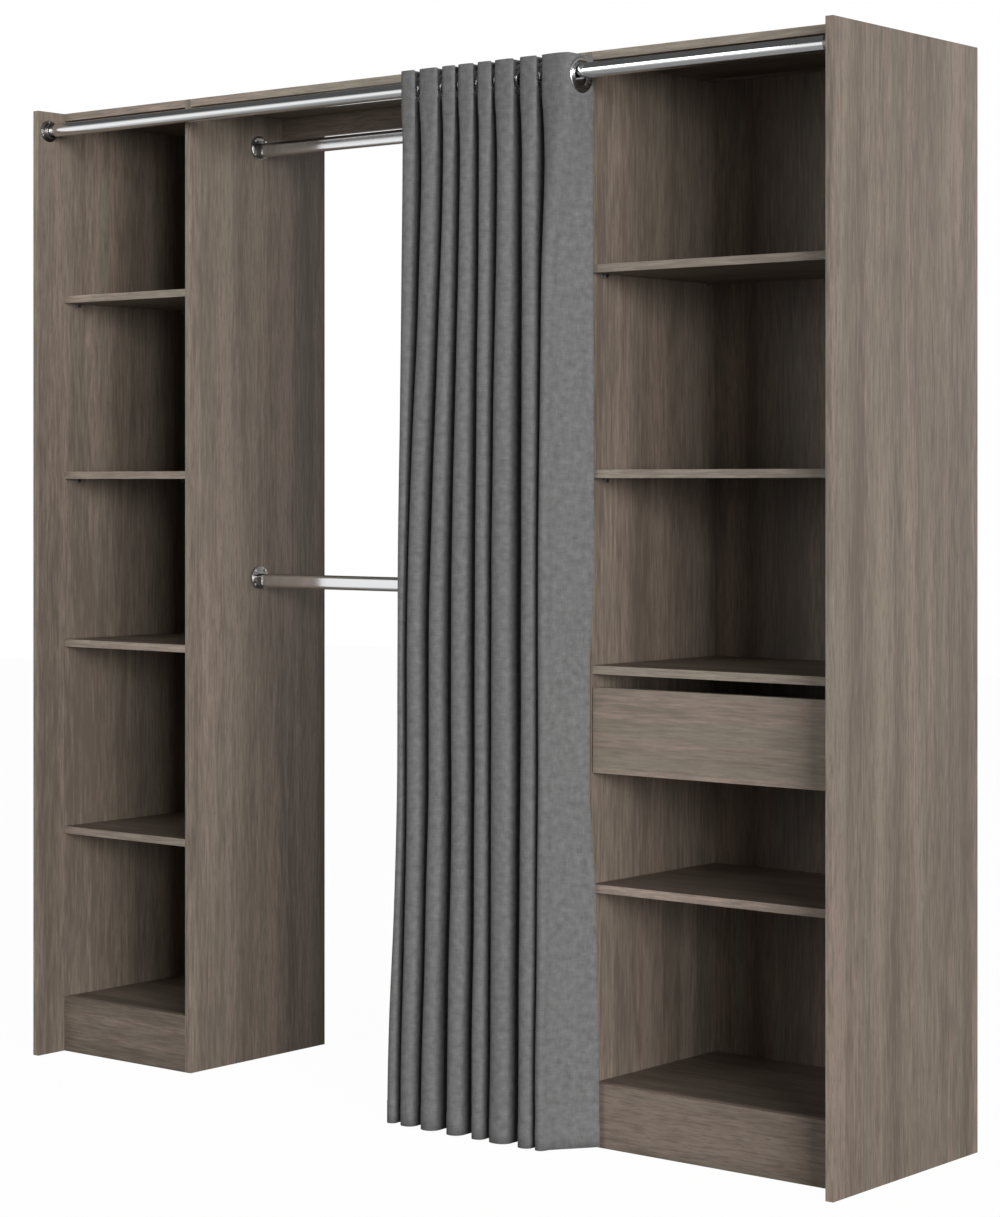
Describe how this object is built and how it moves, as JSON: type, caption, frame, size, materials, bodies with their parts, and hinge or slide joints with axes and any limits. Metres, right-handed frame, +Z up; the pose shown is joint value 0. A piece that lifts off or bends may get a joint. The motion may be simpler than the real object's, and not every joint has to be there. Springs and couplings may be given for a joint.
{
  "type": "closet organizer system",
  "caption": "Free-standing closet organizer: two shelf towers with a drawer, a hanging bay with rails between them and an eyelet curtain on a rod across the front.",
  "frame": {"origin": "on the floor, in the middle of the whole piece's width and depth", "axes": "+X to the right seen from the front, +Y to the back, +Z up"},
  "size_m": [2.036, 0.522, 2.03],
  "materials": {
    "oak_board": "melamine-faced board with a brushed grey-brown oak grain",
    "thin_back_board": "thin hardboard with a printed grain",
    "chrome_rail": "bright chrome",
    "chrome_rod": "bright chrome",
    "eyelet_metal": "bright chrome",
    "grey_curtain_cloth": "plain woven grey cloth",
    "zinc_plated_steel": "zinc plated",
    "cam_metal": "zinc plated",
    "beech_dowel": "bare beech",
    "runner_sheet": "white powder coat",
    "roller_plastic": "matte"
  },
  "bodies": {
    "cabinet": {"left_side_panel": "oak_board", "left_inner_panel": "oak_board", "right_inner_panel": "oak_board", "right_side_panel": "oak_board", "left_top_board": "oak_board", "middle_top_board": "oak_board", "right_top_board": "oak_board", "left_bottom_board": "oak_board", "right_bottom_board": "oak_board", "left_plinth": "oak_board", "right_plinth": "oak_board", "middle_rail": "oak_board", "left_shelf_1": "oak_board", "left_shelf_2": "oak_board", "left_shelf_3": "oak_board", "left_shelf_4": "oak_board", "right_shelf_1": "oak_board", "right_shelf_2": "oak_board", "right_shelf_3": "oak_board", "right_shelf_4": "oak_board", "left_back_panel": "thin_back_board", "right_back_panel": "thin_back_board", "upper_hanging_rail": "chrome_rail", "lower_hanging_rail": "chrome_rail", "upper_rail_left_socket": "chrome_rail", "upper_rail_right_socket": "chrome_rail", "lower_rail_left_socket": "chrome_rail", "lower_rail_right_socket": "chrome_rail", "curtain_rod": "chrome_rod", "left_curtain_rod_socket": "chrome_rod", "right_curtain_rod_socket": "chrome_rod", "socket_screws": "zinc_plated_steel", "left_shelf_pins": "zinc_plated_steel", "right_shelf_pins": "zinc_plated_steel", "dowels": "beech_dowel", "cam_bolts": "zinc_plated_steel", "cam_locks": "cam_metal", "left_cabinet_runner": "runner_sheet", "right_cabinet_runner": "runner_sheet", "runner_screws": "zinc_plated_steel"},
    "drawer": {"drawer_front": "oak_board", "drawer_left_side": "oak_board", "drawer_right_side": "oak_board", "drawer_back": "oak_board", "drawer_bottom": "thin_back_board", "drawer_dowels": "beech_dowel", "left_drawer_runner": "runner_sheet", "right_drawer_runner": "runner_sheet", "drawer_screws": "zinc_plated_steel"},
    "curtain": {"curtain_fabric": "grey_curtain_cloth", "curtain_eyelets": "eyelet_metal"},
    "left_cabinet_roller": {"left_cabinet_roller": "roller_plastic"},
    "left_drawer_roller": {"left_drawer_roller": "roller_plastic"},
    "right_cabinet_roller": {"right_cabinet_roller": "roller_plastic"},
    "right_drawer_roller": {"right_drawer_roller": "roller_plastic"}
  },
  "joints": [
    {"name": "drawer_slide", "type": "slide", "parent": "cabinet", "child": "drawer", "axis": [0, -1, 0], "range_m": [0, 0.3]},
    {"name": "curtain_slide", "type": "slide", "parent": "cabinet", "child": "curtain", "axis": [-1, 0, 0], "range_m": [-0.53, 0.985], "deforming": ["curtain_fabric"]},
    {"name": "left_cabinet_roller_spin", "type": "hinge", "parent": "cabinet", "child": "left_cabinet_roller", "pos_m": [0.44625, -0.1205, 0.719], "axis": [1, 0, 0], "range_deg": [0, 1915]},
    {"name": "left_drawer_roller_spin", "type": "hinge", "parent": "drawer", "child": "left_drawer_roller", "pos_m": [0.44625, 0.204, 0.719], "axis": [1, 0, 0], "range_deg": [0, 1915]},
    {"name": "right_cabinet_roller_spin", "type": "hinge", "parent": "cabinet", "child": "right_cabinet_roller", "pos_m": [0.99575, -0.1205, 0.719], "axis": [1, 0, 0], "range_deg": [0, 1915]},
    {"name": "right_drawer_roller_spin", "type": "hinge", "parent": "drawer", "child": "right_drawer_roller", "pos_m": [0.99575, 0.204, 0.719], "axis": [1, 0, 0], "range_deg": [0, 1915]}
  ],
  "couplings": [
    {"joint": "left_cabinet_roller_spin", "follows": "drawer_slide", "rad_per_m": 111.11},
    {"joint": "left_drawer_roller_spin", "follows": "drawer_slide", "rad_per_m": 111.11},
    {"joint": "right_cabinet_roller_spin", "follows": "drawer_slide", "rad_per_m": 111.11},
    {"joint": "right_drawer_roller_spin", "follows": "drawer_slide", "rad_per_m": 111.11}
  ]
}
